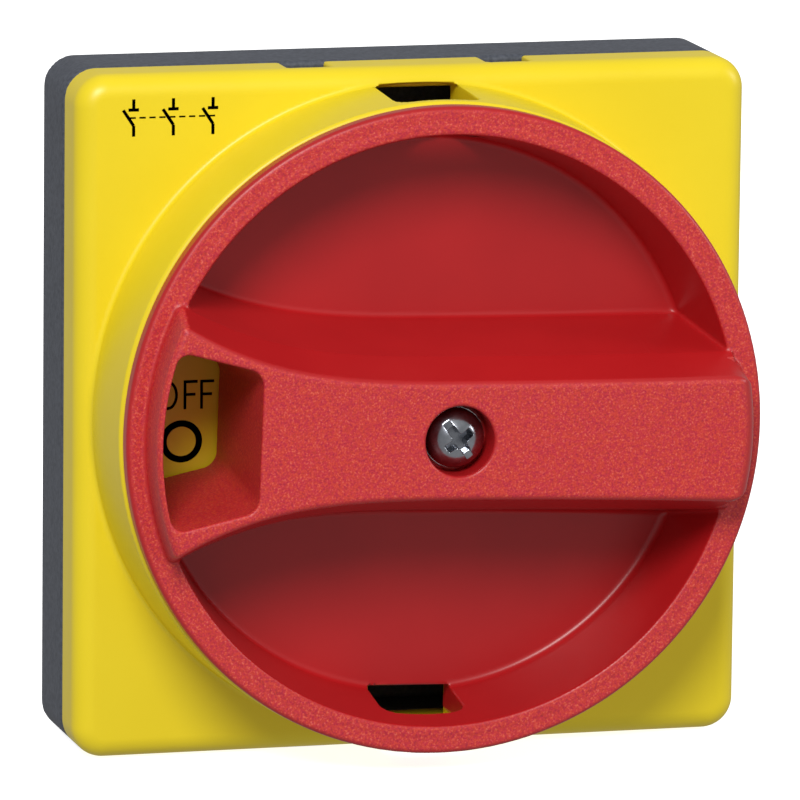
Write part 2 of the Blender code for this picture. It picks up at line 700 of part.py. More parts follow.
def fixed_contact_mesh():
    """A forked jaw that the blade enters, below a flat terminal with a blind threaded hole."""
    bottom, top = TERMINAL_Z
    fork = [
        (1.2, JAW_INNER_Z), (2.0, JAW_INNER_Z), (2.0, bottom - 0.6), (3.6, bottom - 0.6), (3.6, JAW_INNER_Z),
        (4.4, JAW_INNER_Z), (4.4, bottom), (TERMINAL_Y[1], bottom), (TERMINAL_Y[1], top),
        (TERMINAL_Y[0], top), (TERMINAL_Y[0], bottom), (1.2, bottom),
    ]
    return solid("fixed_contact", extruded(fork, "X", -2.3, 2.3), [
        ("DIFFERENCE", rod("Z", (0.0, TERMINAL_MID), SMALL_HOLE_R, bottom + 0.1, top + 1.0, 12)),
    ])


def wire_clamp_mesh():
    plate = extruded([(-2.5, 0.7), (2.5, 0.7), (2.5, 5.7), (-2.5, 5.7)], "Z", 16.2, 17.0)
    return solid("wire_clamp", plate, [
        ("DIFFERENCE", rod("Z", (0.0, TERMINAL_MID), SMALL_HOLE_R, 15.0, 18.0, 12)),
    ])


def terminal_screw_mesh():
    shank = rod("Z", (0.0, TERMINAL_MID), SMALL_SHANK_R, 14.4, 17.8, 12)
    return solid("terminal_screw", shank, [
        ("UNION", rod("Z", (0.0, TERMINAL_MID), 2.3, 17.3, 19.2, SMALL)),
        ("DIFFERENCE", extruded([(-1.7, 2.9), (1.7, 2.9), (1.7, 3.5), (-1.7, 3.5)], "Z", 18.5, 20.0)),
    ])


def contact_decks(parent):
    housing = deck_housing_mesh()
    rotor = contact_rotor_mesh()
    blade = contact_blade_mesh()
    terminal_parts = (
        ("fixed_contact", fixed_contact_mesh(), "copper"),
        ("wire_clamp", wire_clamp_mesh(), "zinc_steel"),
        ("terminal_screw", terminal_screw_mesh(), "zinc_steel"),
    )
    for deck in range(1, DECK_COUNT + 1):
        start = (0.0, DECK_FIRST + (deck - 1) * (DECK_LENGTH + GAP), 0.0)
        piece(f"deck_housing_{deck}", housing, "grey_plastic", start)
        piece(f"contact_rotor_{deck}", rotor, "light_plastic", start, parent=parent)
        piece(f"contact_blade_{deck}", blade, "copper", start, parent=parent)
        for end, spin in (("top", 0.0), ("bottom", 180.0)):
            for name, mesh, finish in terminal_parts:
                piece(f"{name}_{deck}_{end}", mesh, finish, start, (0.0, spin, 0.0))


def end_cap_and_tie_bolts():
    front = DECK_FIRST + DECK_COUNT * (DECK_LENGTH + GAP)
    rear = front + CAP_LENGTH
    seat = front + 1.0
    steps = [("DIFFERENCE", rod("Y", (0.0, 0.0), SHAFT_BORE_R, front - 1.0, rear - 1.0, MEDIUM))]
    for place in tie_places():
        steps.append(("DIFFERENCE", rod("Y", place, TIE_HOLE_R, front - 1.0, rear + 1.0)))
        steps.append(("DIFFERENCE", rod("Y", place, 3.1, seat, rear + 1.0)))
    body = extruded(rounded_square(DECK_HALF, DECK_CORNER), "Y", front, rear)
    piece("end_cap", solid("end_cap", body, steps), "grey_plastic")
    bolt = turned([
        (0.0, 11.2), (TIE_R - 0.3, 11.2), (TIE_R, 11.6), (TIE_R, seat + GAP), (2.7, seat + GAP),
        (2.7, seat + GAP + 1.2), (0.0, seat + GAP + 1.2),
    ], SMALL)
    slot = block((-3.0, 3.0), (seat + GAP + 0.6, rear + 1.0), (-0.4, 0.4))
    mesh = solid("tie_bolt", bolt, [("DIFFERENCE", slot)])
    for number, (x, z) in enumerate(tie_places(), 1):
        piece(f"tie_bolt_{number}", mesh, "zinc_steel", (x, 0.0, z))


def main():
    for thing in list(bpy.data.objects):
        bpy.data.objects.remove(thing)
    rotor = axis_empty("knob_turn_axis")
    mounting_base()
    panel_gasket()
    fixing_screws()
    front_cover()
    knob(rotor)
    knob_fasteners(rotor)
    drive_coupler(rotor)
    drive_shaft(rotor)
    switch_flange()
    latch_housing()
    detent_rotor(rotor)
    detent_springs_and_balls(rotor)
    contact_decks(rotor)
    end_cap_and_tie_bolts()


main()
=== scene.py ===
import json
import math

import bmesh
import bpy
import numpy as np
from mathutils import Matrix, Vector


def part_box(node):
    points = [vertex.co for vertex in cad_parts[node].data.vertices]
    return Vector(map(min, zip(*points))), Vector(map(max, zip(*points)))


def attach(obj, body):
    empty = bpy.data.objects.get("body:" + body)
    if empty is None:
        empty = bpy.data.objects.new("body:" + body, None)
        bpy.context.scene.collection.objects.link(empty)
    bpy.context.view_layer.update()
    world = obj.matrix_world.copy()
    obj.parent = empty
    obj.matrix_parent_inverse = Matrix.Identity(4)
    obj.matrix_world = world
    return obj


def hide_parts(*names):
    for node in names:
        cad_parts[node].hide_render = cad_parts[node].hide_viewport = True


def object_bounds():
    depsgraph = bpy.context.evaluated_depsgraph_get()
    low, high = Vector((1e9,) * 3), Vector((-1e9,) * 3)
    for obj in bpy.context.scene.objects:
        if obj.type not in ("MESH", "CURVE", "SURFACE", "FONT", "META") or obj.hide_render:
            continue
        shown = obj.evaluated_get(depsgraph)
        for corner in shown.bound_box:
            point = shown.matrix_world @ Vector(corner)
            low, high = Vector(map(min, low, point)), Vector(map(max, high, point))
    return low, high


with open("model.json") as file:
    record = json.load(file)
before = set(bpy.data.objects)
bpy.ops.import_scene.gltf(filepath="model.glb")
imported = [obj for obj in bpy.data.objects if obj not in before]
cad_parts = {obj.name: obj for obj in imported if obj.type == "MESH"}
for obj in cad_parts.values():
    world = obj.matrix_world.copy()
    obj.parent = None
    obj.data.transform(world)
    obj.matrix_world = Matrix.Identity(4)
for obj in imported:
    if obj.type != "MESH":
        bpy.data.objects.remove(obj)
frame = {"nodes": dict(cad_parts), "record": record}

# The visible surfaces of the rotary isolator. Sizes are in millimetres; a point's depth is its
# distance in front of the panel, so depth = -y. Curved shapes are signed distance fields, which
# give every edge its moulded radius, and surface_mesh turns a field into a mesh.

MM = 0.001
CAD_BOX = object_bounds()

ROTOR = "knob_and_rotor"
HOUSING = "housing"


def node_depths(node):
    """A node's nearest and farthest depth from the panel face, in millimetres."""
    low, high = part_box(node)
    return -high.y / MM, -low.y / MM


def node_half(node):
    """Half a node's width, in millimetres."""
    low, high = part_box(node)
    return (high.x - low.x) / (2.0 * MM)


KNOB_REAR, BAR_FRONT = node_depths("knob")
RIM_OUT = node_half("knob")
COVER_REAR, COLLAR_TOP = node_depths("front_cover")
PLATE_HALF = node_half("front_cover")
BASE_FRONT = COVER_REAR - 0.3
COVER_FACE = COVER_REAR + 5.8
COVER_UNDER = COVER_FACE - 2.5
PLATE_CORNER = 3.0
WALL_HALF_IN = PLATE_HALF - 2.2

RIM_FRONT = BAR_FRONT - 4.7
RIM_REAR = RIM_FRONT - 1.9
RIM_IN = RIM_OUT - 2.65
BARREL_R = RIM_OUT - 1.55
DISH_FLOOR = KNOB_REAR + 2.0
DISH_FLOOR_R = RIM_IN - 1.4
KNOB_PLAY = math.radians(1.8)
BAR_HALF = 5.5
BAR_FLARE = 5.6
BAR_FLARE_LENGTH = 27.0
BAR_FLARE_RIGHT = 0.35
BAR_END_R = 28.85
BAR_DRAFT = 0.36
BAR_ROOT_DRAFT = 0.21
WINDOW_END_R = 28.3
WINDOW_RIGHT = -19.0
WINDOW_HALF = 6.5
WINDOW_SPREAD = 0.25
COUNTERBORE_R = 3.3
COUNTERBORE_FLOOR = 28.2
SLOT_HALF_WIDTH = 4.0
SLOT_TOP = 23.3
SLOT_OUTER_R = 31.0
SLOT_INNER_Z = 26.2
UPPER_HOLE_FROM = 26.8
LOWER_HOLE_FROM = 26.1
COLLAR_IN = 29.4
COLLAR_OUT = 31.1
NOTCH_X = 9.7
NOTCH_HALF_WIDTH = 2.15
NOTCH_TOP = 12.2
COVER_FILLET = 2.0
COVER_BORE_R = 9.8
WALL_CORNER_IN = 1.2
KNOB_SCREW_HOLE_R = 1.8
SOCKET_HALF = 5.3
SOCKET_END = 21.0

BASE_FLOOR = 3.0
BOSS_R = 11.5
BOSS_FRONT = 8.0
JOURNAL_BORE_R = 9.0
GASKET_GROOVE_HALF = (27.0, 30.0)
GASKET_GROOVE_DEPTH = 1.5
FIX_HOLE_R = 2.3
HOOK_ROOT_Z = 28.0
HOOK_STEM_Z = 29.9
HOOK_FOOT_Z = 31.0
HOOK_TIP = 11.4

SCREW_TURN = math.radians(35.0)
SCREW_HEAD_R = 2.9
SCREW_DOME_R = 3.2
SCREW_DOME_AT = 28.1
SCREW_HEAD_REAR = 29.2
SCREW_SHANK_R = 1.5
SCREW_SHANK_REAR = 14.5
RECESS_FLOOR = 29.75
RECESS_HALF_WIDTH = 0.42
RECESS_REACH = 1.5

FLANGE_HALF = 24.0
FLANGE_Y = (3.0, 6.0)
INSERT_BOSS_R = 4.5
INSERT_BOSS_REAR = 10.0
INSERT_R = (2.2, 2.9)
INSERT_Y = (3.6, 9.7)
LATCH_HALF = 19.0
LATCH_Y = (6.3, 14.2)
LATCH_FLOOR = 13.2
LATCH_IN_R = 14.0
GROOVE_AT = 12.9
GROOVE_R = 2.15
STOP_PIN_AT = 6.01
STOP_PIN_R = 1.2
FIX_AT = 18.0
TIE_AT = 15.5
DECK_HALF = 20.0
DECK_FIRST = 14.5
DECK_LENGTH = 7.3
DECK_PITCH = 7.6
CAP_FRONT = 37.3
CAP_REAR = 40.1
TERMINAL_MID = 3.2
SHAFT_BORE_R = 5.2
DECK_CORNER = 2.0
DECK_CAVITY_R = 12.8
DECK_CAVITY_REAR = 6.3
POCKET_HALF_WIDTH = 3.2
POCKET_REAR = 6.1
POCKET_INNER_Z = 10.4
TIE_HOLE_R = 1.8
TIE_HEAD_R = 2.7
TIE_HEAD_Y = (38.6, 39.8)
TIE_SHANK_R = 1.5
TIE_SHANK_Y = (11.2, 39.0)


# ---------------------------------------------------------------- fields and their meshes

def union(a, b, radius):
    """Join two fields with a concave fillet."""
    return np.maximum(radius, np.minimum(a, b)) - np.hypot(
        np.maximum(radius - a, 0.0), np.maximum(radius - b, 0.0))


def common(a, b, radius):
    """Keep what two fields share, with a rounded edge."""
    return np.minimum(-radius, np.maximum(a, b)) + np.hypot(
        np.maximum(radius + a, 0.0), np.maximum(radius + b, 0.0))


def cut(a, b, radius):
    """Take field b out of field a, with a rounded edge."""
    return common(a, -b, radius)


def square_field(x, z, half, corner):
    """Distance to a square with round corners."""
    across = np.abs(x) - (half - corner)
    along = np.abs(z) - (half - corner)
    outside = np.hypot(np.maximum(across, 0.0), np.maximum(along, 0.0))
    return outside + np.minimum(np.maximum(across, along), 0.0) - corner


def gradient(field, points, reach=0.02):
    slopes = []
    for axis in range(3):
        shift = np.zeros(3)
        shift[axis] = reach
        ahead = field(*(points + shift).T)
        behind = field(*(points - shift).T)
        slopes.append((ahead - behind) / (2.0 * reach))
    return np.stack(slopes, axis=1)


def settle(field, points, rounds=4):
    """Move points onto the field's surface."""
    for _ in range(rounds):
        slope = gradient(field, points)
        size = np.maximum((slope ** 2).sum(axis=1), 0.05)
        points = points - slope * (field(*points.T) / size)[:, None]
    return points


def net(field, low, high, step):
    """Vertices and quads of the field's zero surface, one vertex in each grid cell that it crosses."""
    axes = [np.arange(a, b + step, step) for a, b in zip(low, high)]
    grid = field(*np.meshgrid(*axes, indexing="ij", sparse=True))
    value = np.broadcast_to(grid, [len(axis) for axis in axes])
    inside = value < 0.0
    corners = [(i, j, k) for i in (0, 1) for j in (0, 1) for k in (0, 1)]
    shape = [len(axis) - 1 for axis in axes]
    filled = sum(
        inside[i:i + shape[0], j:j + shape[1], k:k + shape[2]].astype(np.int8) for i, j, k in corners)
    cells = np.argwhere((filled > 0) & (filled < 8))
    number = np.full(shape, -1)
    number[tuple(cells.T)] = np.arange(len(cells))
    total = np.zeros((len(cells), 3))
    count = np.zeros(len(cells))
    for start in corners:
        for axis in range(3):
            if start[axis]:
                continue
            end = tuple(c + (n == axis) for n, c in enumerate(start))
            a = value[tuple((cells + start).T)]
            b = value[tuple((cells + end).T)]
            crossed = (a < 0.0) != (b < 0.0)
            share = np.where(crossed, a / np.where(crossed, a - b, 1.0), 0.0)
            spot = np.array(start, float) + share[:, None] * (np.arange(3) == axis)
            total += spot * crossed[:, None]
            count += crossed
    points = np.array([axis[0] for axis in axes]) + step * (cells + total / count[:, None])
    quads = []
    for axis in range(3):
        near = [slice(None)] * 3
        far = [slice(None)] * 3
        near[axis] = slice(0, -1)
        far[axis] = slice(1, None)
        changes = np.argwhere(inside[tuple(near)] != inside[tuple(far)])
        side_a, side_b = [n for n in range(3) if n != axis]
        changes = changes[(changes[:, side_a] > 0) & (changes[:, side_b] > 0)]
        changes = changes[(changes[:, side_a] < shape[side_a]) & (changes[:, side_b] < shape[side_b])]
        ring = []
        for step_a, step_b in ((1, 1), (0, 1), (0, 0), (1, 0)):
            cell = changes.copy()
            cell[:, side_a] -= step_a
            cell[:, side_b] -= step_b
            ring.append(number[tuple(cell.T)])
        faces = np.stack(ring, axis=1)
        leaving = inside[tuple(changes.T)] == (axis != 1)
        quads.append(np.where(leaving[:, None], faces, faces[:, ::-1]))
    return points, np.concatenate(quads)


def surface_mesh(name, field, low, high, step, keep=1.0, paint=None):
    """The field's surface as a mesh object in metres, thinned to a share of its faces, with the
    field's own normals. paint(points, normals) gives a number for each vertex, stored as grain."""
    points, quads = net(field, low, high, step)
    points = settle(field, points)
    mesh = bpy.data.meshes.new(name)
    mesh.from_pydata(points.tolist(), [], quads.tolist())
    thing = bpy.data.objects.new(name, mesh)
    bpy.context.collection.objects.link(thing)
    if keep < 1.0:
        thin = thing.modifiers.new("thin", "DECIMATE")
        thin.ratio = keep
        graph = bpy.context.evaluated_depsgraph_get()
        thing.data = bpy.data.meshes.new_from_object(thing.evaluated_get(graph))
        thing.modifiers.clear()
        mesh = thing.data
    flat = np.zeros(len(mesh.vertices) * 3)
    mesh.vertices.foreach_get("co", flat)
    points = settle(field, flat.reshape(-1, 3), 2)
    normals = gradient(field, points)
    normals /= np.maximum(np.linalg.norm(normals, axis=1), 1e-6)[:, None]
    if paint:
        grain = mesh.attributes.new("grain", "FLOAT", "POINT")
        grain.data.foreach_set("value", paint(points, normals))
    mesh.vertices.foreach_set("co", (points * MM).ravel())
    mesh.update()
    mesh.shade_smooth()
    mesh.normals_split_custom_set_from_vertices(normals.tolist())
    return thing


# ---------------------------------------------------------------- front operator shapes

def knob_place(x, z):
    """A point's place in the knob's own frame: the knob rests turned within its play."""
    across = x * math.cos(KNOB_PLAY) - z * math.sin(KNOB_PLAY)
    return across, x * math.sin(KNOB_PLAY) + z * math.cos(KNOB_PLAY)


def bar_field(x, depth, z, radius):
    """The grip bar above the rim, with its flared left end, and its root down to the dish's floor."""
    left = np.maximum(0.0, -x) / BAR_FLARE_LENGTH
    right = np.maximum(0.0, x) / BAR_FLARE_LENGTH
    half = BAR_HALF + BAR_FLARE * left ** 3 + BAR_FLARE_RIGHT * right ** 2
    flare_slope = 3.0 * BAR_FLARE * left ** 2 / BAR_FLARE_LENGTH
    rim_gap = BAR_FRONT - RIM_FRONT
    deeper = BAR_FRONT - depth
    widening = np.minimum(deeper, rim_gap) * BAR_DRAFT + np.maximum(deeper - rim_gap, 0.0) * BAR_ROOT_DRAFT
    flank = (np.abs(z) - half - widening) / np.sqrt(1.0 + flare_slope ** 2 + BAR_DRAFT ** 2)
    end = radius - BAR_END_R
    top = common(common(flank, depth - BAR_FRONT, 0.5), end, np.where(x < 0.0, 0.7, 1.9))
    top = common(top, RIM_REAR + 0.6 - depth, 0.3)
    root = common(np.maximum(flank, radius - BARREL_R + 0.8), KNOB_REAR + 0.6 - depth, 0.3)
    return np.minimum(top, np.maximum(root, depth - RIM_FRONT - 1.0))


def window_field(x, depth, z, radius):
    deeper = BAR_FRONT - depth
    ends = common(radius - WINDOW_END_R + deeper * 0.05, x - WINDOW_RIGHT + deeper * 0.006, 0.4)
    sides = np.abs(z) - WINDOW_HALF - (WINDOW_RIGHT - x) * WINDOW_SPREAD + deeper * 0.09
    return common(ends, sides / math.hypot(1.0, WINDOW_SPREAD), 1.2)


def knob_field(x, y, z):
    depth = -y
    x, z = knob_place(x, z)
    radius = np.hypot(x, z)
    rim = common(common(radius - RIM_OUT, depth - RIM_FRONT, 0.55), RIM_REAR - depth, 0.35)
    barrel = common(common(radius - BARREL_R, depth - RIM_FRONT, 0.3), KNOB_REAR - depth, 0.4)
    body = union(rim, barrel, 0.15)
    wall_slope = (RIM_IN - DISH_FLOOR_R) / (RIM_FRONT - DISH_FLOOR)
    wall = (radius - DISH_FLOOR_R - (depth - DISH_FLOOR) * wall_slope) / math.hypot(1.0, wall_slope)
    body = cut(body, common(wall, DISH_FLOOR - depth, 0.6), 0.3)
    body = union(body, bar_field(x, depth, z, radius), 0.45)
    body = cut(body, window_field(x, depth, z, radius), 0.22)
    body = cut(body, common(radius - COUNTERBORE_R, COUNTERBORE_FLOOR - depth, 0.2), 0.3)
    body = cut(body, radius - KNOB_SCREW_HOLE_R, 0.1)
    hole = common(np.abs(x) - SLOT_HALF_WIDTH, depth - SLOT_TOP, 1.6)
    outward = np.where(z > 0.0, UPPER_HOLE_FROM - z, LOWER_HOLE_FROM + z)
    body = cut(body, common(hole, outward, 0.2), 0.15)
    socket = common(np.maximum(np.abs(x), np.abs(z)) - SOCKET_HALF, depth - SOCKET_END, 0.2)
    return cut(body, socket, 0.2)


def knob_grain(points, normals):
    """1 where the mould is spark-eroded: fronts of the rim and the bar, and the window's walls."""
    depth = -points[:, 1]
    x, z = knob_place(points[:, 0], points[:, 2])
    radius = np.hypot(x, z)
    facing = np.clip((-normals[:, 1] - 0.80) / 0.15, 0.0, 1.0)
    fronts = facing * np.clip((depth - RIM_FRONT + 0.8) / 0.4, 0.0, 1.0)
    in_window = window_field(x, depth, z, radius) < 0.12
    left_end = (radius > BAR_END_R - 0.5) & (depth > RIM_FRONT + 0.3) & (x < 0.0)
    return np.maximum(fronts, np.maximum(in_window * 0.75, left_end * 0.9))


def cover_field(x, y, z):
    depth = -y
    radius = np.hypot(x, z)
    outline = square_field(x, z, PLATE_HALF, PLATE_CORNER)
    plate = common(common(outline, depth - COVER_FACE, COVER_FILLET), COVER_REAR - depth, 0.25)
    inside = common(square_field(x, z, WALL_HALF_IN, WALL_CORNER_IN), depth - COVER_UNDER, 0.3)
    plate = cut(plate, inside, 0.2)
    plate = cut(plate, radius - COVER_BORE_R, 0.2)
    outer = radius - COLLAR_OUT + (depth - COVER_FACE) * 0.03
    collar = common(common(outer, COLLAR_IN - radius, 0.4), depth - COLLAR_TOP, 0.45)
    collar = np.maximum(collar, COVER_UNDER + 0.8 - depth)
    body = union(plate, collar, 0.45)
    slot = common(np.abs(x) - SLOT_HALF_WIDTH, depth - SLOT_TOP, 1.6)
    slot = common(slot, SLOT_INNER_Z - np.abs(z), 0.2)
    body = cut(body, common(slot, COVER_FACE + 0.1 - depth, 0.1), 0.2)
    body = cut(body, common(slot, common(radius - SLOT_OUTER_R, COVER_UNDER - 0.1 - depth, 0.1), 0.1), 0.1)
    notch = common(np.abs(np.abs(x) - NOTCH_X) - NOTCH_HALF_WIDTH, depth - NOTCH_TOP, 0.3)
    return cut(body, common(notch, WALL_HALF_IN - 0.8 - np.abs(z), 0.1), 0.2)


def hook_field(x, depth, z):
    """The four snap hooks: each has a foot on the wall's inside, a stem, and a ramped lip."""
    outward = np.abs(z)
    sides = common(np.abs(np.abs(x) - NOTCH_X) - NOTCH_HALF_WIDTH + 0.3, HOOK_ROOT_Z - outward, 0.2)
    stem = common(np.maximum(outward - HOOK_STEM_Z, depth - HOOK_TIP), 2.0 - depth, 0.2)
    ramp = (outward - 31.5 + (depth - 9.8) * 0.65) / math.hypot(1.0, 0.65)
    lip = common(common(ramp, 9.6 - depth, 0.2), depth - HOOK_TIP, 0.2)
    foot = common(outward - HOOK_FOOT_Z, np.maximum(depth - 8.2, 2.0 - depth), 0.2)
    return common(sides, np.minimum(np.minimum(stem, lip), foot), 0.2)


def base_field(x, y, z):
    depth = -y
    radius = np.hypot(x, z)
    outline = square_field(x, z, PLATE_HALF, PLATE_CORNER)
    body = common(common(outline, depth - BASE_FRONT, 0.5), -depth, 0.3)
    cavity = common(square_field(x, z, WALL_HALF_IN, WALL_CORNER_IN), BASE_FLOOR - depth, 0.4)
    body = cut(body, cavity, 0.25)
    boss = common(radius - BOSS_R, depth - BOSS_FRONT, 0.4)
    body = union(body, common(boss, 0.6 - depth, 0.2), 0.4)
    body = cut(body, radius - JOURNAL_BORE_R, 0.3)
    body = union(body, hook_field(x, depth, z), 0.2)
    inner, outer = GASKET_GROOVE_HALF
    groove = common(square_field(x, z, outer, 2.0), -square_field(x, z, inner, 1.5), 0.1)
    body = cut(body, common(groove, depth - GASKET_GROOVE_DEPTH, 0.1), 0.15)
    return cut(body, fixing_distance(x, z) - FIX_HOLE_R, 0.3)


def knob_screw_field(x, y, z):
    """An M3 pan head with a cross recess and a slot, turned off square."""
    depth = -y
    across = x * math.cos(SCREW_TURN) + z * math.sin(SCREW_TURN)
    along = -x * math.sin(SCREW_TURN) + z * math.cos(SCREW_TURN)
    radius = np.hypot(x, z)
    dome = np.sqrt(radius ** 2 + (depth - SCREW_DOME_AT) ** 2) - SCREW_DOME_R
    head = common(common(radius - SCREW_HEAD_R, dome, 0.3), SCREW_HEAD_REAR - depth, 0.15)
    shank = common(radius - SCREW_SHANK_R, SCREW_SHANK_REAR - depth, 0.3)
    body = union(head, np.maximum(shank, depth - 30.0), 0.15)
    taper = (31.2 - depth) * 0.22
    width = RECESS_HALF_WIDTH - taper * 0.3
    reach = RECESS_REACH - taper
    arm_a = common(np.abs(across) - width, np.abs(along) - reach, 0.12)
    arm_b = common(np.abs(along) - width, np.abs(across) - reach, 0.12)
    core = (np.abs(across) + np.abs(along)) / math.sqrt(2.0) - 0.72 + taper * 0.4
    cross = np.maximum(np.minimum(np.minimum(arm_a, arm_b), core), RECESS_FLOOR - depth)
    slot = np.maximum(np.abs(across) - 0.36, 30.55 - depth)
    return cut(cut(body, cross, 0.1), slot, 0.08)


# ---------------------------------------------------------------- shapes behind the panel


def slab(value, low, high):
    """Distance to the space between two planes across one axis."""
    return np.abs(value - (low + high) / 2.0) - (high - low) / 2.0


def fixing_distance(x, z):
    return np.hypot(np.abs(x) - FIX_AT, np.abs(z) - FIX_AT)


def tie_distance(x, z):
    return np.minimum(np.hypot(x + TIE_AT, z - TIE_AT), np.hypot(x - TIE_AT, z + TIE_AT))


def flange_field(x, y, z):
    boss = fixing_distance(x, z)
    body = common(square_field(x, z, FLANGE_HALF, 4.0), slab(y, *FLANGE_Y), 0.4)
    body = union(body, common(boss - INSERT_BOSS_R, slab(y, 4.0, INSERT_BOSS_REAR), 0.3), 0.5)
    body = cut(body, common(boss - INSERT_R[1] - 0.3, INSERT_Y[0] - 0.3 - y, 0.1), 0.2)
    body = cut(body, boss - FIX_HOLE_R, 0.1)
    return cut(body, np.hypot(x, z) - JOURNAL_BORE_R, 0.2)


def insert_field(x, y, z):
    radius = np.hypot(x, z)
    return common(common(radius - INSERT_R[1], INSERT_R[0] - radius, 0.12), slab(y, *INSERT_Y), 0.15)


def latch_field(x, y, z):
    radius = np.hypot(x, z)
    body = common(square_field(x, z, LATCH_HALF, 2.0), slab(y, *LATCH_Y), 0.4)
    boss = fixing_distance(x, z) - INSERT_BOSS_R - 0.4
    body = cut(body, common(boss, y - INSERT_BOSS_REAR - 0.3, 0.2), 0.25)
    groove = np.minimum(np.hypot(np.abs(x) - GROOVE_AT, z), np.hypot(x, np.abs(z) - GROOVE_AT)) - GROOVE_R
    body = cut(body, common(np.minimum(radius - LATCH_IN_R, groove), y - LATCH_FLOOR, 0.1), 0.15)
    pin = np.hypot(x - STOP_PIN_AT, z - STOP_PIN_AT) - STOP_PIN_R
    pin = common(pin, slab(y, 11.2, LATCH_FLOOR + 0.5), 0.2)
    body = cut(union(body, pin, 0.1), radius - SHAFT_BORE_R, 0.2)
    return cut(body, common(tie_distance(x, z) - TIE_HOLE_R, 10.9 - y, 0.1), 0.15)


def deck_field(x, y, z):
    radius = np.hypot(x, z)
    body = common(square_field(x, z, DECK_HALF, DECK_CORNER), slab(y, 0.0, DECK_LENGTH), 0.4)
    body = cut(body, common(radius - DECK_CAVITY_R, y - DECK_CAVITY_REAR, 0.2), 0.2)
    body = cut(body, radius - SHAFT_BORE_R, 0.2)
    pocket = common(np.abs(x) - POCKET_HALF_WIDTH, y - POCKET_REAR, 0.4)
    body = cut(body, common(pocket, POCKET_INNER_Z - np.abs(z), 0.2), 0.25)
    return cut(body, tie_distance(x, z) - TIE_HOLE_R, 0.2)


def end_cap_field(x, y, z):
    radius = np.hypot(x, z)
    body = common(square_field(x, z, DECK_HALF, DECK_CORNER), slab(y, CAP_FRONT, CAP_REAR), 0.5)
    body = cut(body, common(radius - SHAFT_BORE_R, y - CAP_REAR + 1.0, 0.2), 0.2)
    body = cut(body, common(np.abs(radius - 8.0) - 0.5, CAP_REAR - 0.4 - y, 0.1), 0.15)
    tie = tie_distance(x, z)
    body = cut(body, common(tie - 3.1, CAP_FRONT + 1.0 - y, 0.1), 0.25)
    return cut(body, tie - TIE_HOLE_R, 0.1)


def tie_bolt_field(x, y, z):
    radius = np.hypot(x, z)
    head = common(common(radius - TIE_HEAD_R, y - TIE_HEAD_Y[1], 0.35), TIE_HEAD_Y[0] - y, 0.1)
    shank = common(radius - TIE_SHANK_R, slab(y, *TIE_SHANK_Y), 0.3)
    return cut(union(head, shank, 0.1), common(np.abs(z) - 0.4, 39.2 - y, 0.1), 0.08)


def terminal_screw_field(x, y, z):
    radius = np.hypot(x, y - TERMINAL_MID)
    head = common(common(radius - 2.3, z - 19.2, 0.4), 17.3 - z, 0.1)
    body = union(head, common(radius - 1.2, slab(z, 14.4, 18.0), 0.2), 0.1)
    return cut(body, common(np.abs(y - TERMINAL_MID) - 0.32, 18.4 - z, 0.1), 0.08)


def wire_clamp_field(x, y, z):
    body = common(common(np.abs(x) - 2.5, slab(y, 0.7, 5.7), 0.3), slab(z, 16.2, 17.0), 0.15)
    return cut(body, np.hypot(x, y - TERMINAL_MID) - 1.5, 0.1)


# ---------------------------------------------------------------- materials

class Nodes:
    """A material's node tree, with its Principled shader and short calls to add and link nodes."""

    def __init__(self, name):
        self.material = bpy.data.materials.new(name)
        self.material.use_nodes = True
        self.tree = self.material.node_tree
        self.shader = self.tree.nodes["Principled BSDF"]

    def add(self, kind, **settings):
        node = self.tree.nodes.new(kind)
        for key, value in settings.items():
            setattr(node, key, value)
        return node

    def link(self, source, target):
        self.tree.links.new(source, target)

    def place(self):
        return self.add("ShaderNodeTexCoord").outputs["Object"]

    def noise(self, scale, detail=2.0, rough=0.5):
        node = self.add("ShaderNodeTexNoise")
        node.inputs["Scale"].default_value = scale
        node.inputs["Detail"].default_value = detail
        node.inputs["Roughness"].default_value = rough
        self.link(self.place(), node.inputs["Vector"])
        return node.outputs["Fac"]

    def ramp(self, source, *stops):
        node = self.add("ShaderNodeValToRGB")
        while len(node.color_ramp.elements) < len(stops):
            node.color_ramp.elements.new(0.5)
        for element, (position, colour) in zip(node.color_ramp.elements, stops):
            element.position = position
            element.color = (*colour, 1.0)
        self.link(source, node.inputs["Fac"])
        return node.outputs["Color"]

    def mix(self, factor, first, second, blend="MIX"):
        node = self.add("ShaderNodeMix", data_type="RGBA", blend_type=blend)
        for value, socket in ((factor, 0), (first, 6), (second, 7)):
            if isinstance(value, (int, float)):
                node.inputs[socket].default_value = value
            elif isinstance(value, tuple):
                node.inputs[socket].default_value = (*value, 1.0)
            else:
                self.link(value, node.inputs[socket])
        return node.outputs[2]

    def span(self, source, low, high):
        """Stretch a 0..1 value to a range."""
        node = self.add("ShaderNodeMapRange")
        self.link(source, node.inputs["Value"])
        node.inputs["To Min"].default_value = low
        node.inputs["To Max"].default_value = high
        return node.outputs["Result"]

    def multiply(self, first, second):
        node = self.add("ShaderNodeMath", operation="MULTIPLY")
        self.link(first, node.inputs[0])
        if isinstance(second, float):
            node.inputs[1].default_value = second
        else:
            self.link(second, node.inputs[1])
        return node.outputs[0]

    def bump(self, height, distance, strength=1.0):
        node = self.add("ShaderNodeBump")
        node.inputs["Distance"].default_value = distance
        if isinstance(strength, float):
            node.inputs["Strength"].default_value = strength
        else:
            self.link(strength, node.inputs["Strength"])
        self.link(height, node.inputs["Height"])
        self.link(node.outputs["Normal"], self.shader.inputs["Normal"])


def linear(red, green, blue):
    """A screen colour out of 255 as scene-linear values."""
    return tuple(
        c / 12.92 if c <= 0.04045 else ((c + 0.055) / 1.055) ** 2.4
        for c in (red / 255.0, green / 255.0, blue / 255.0)
    )


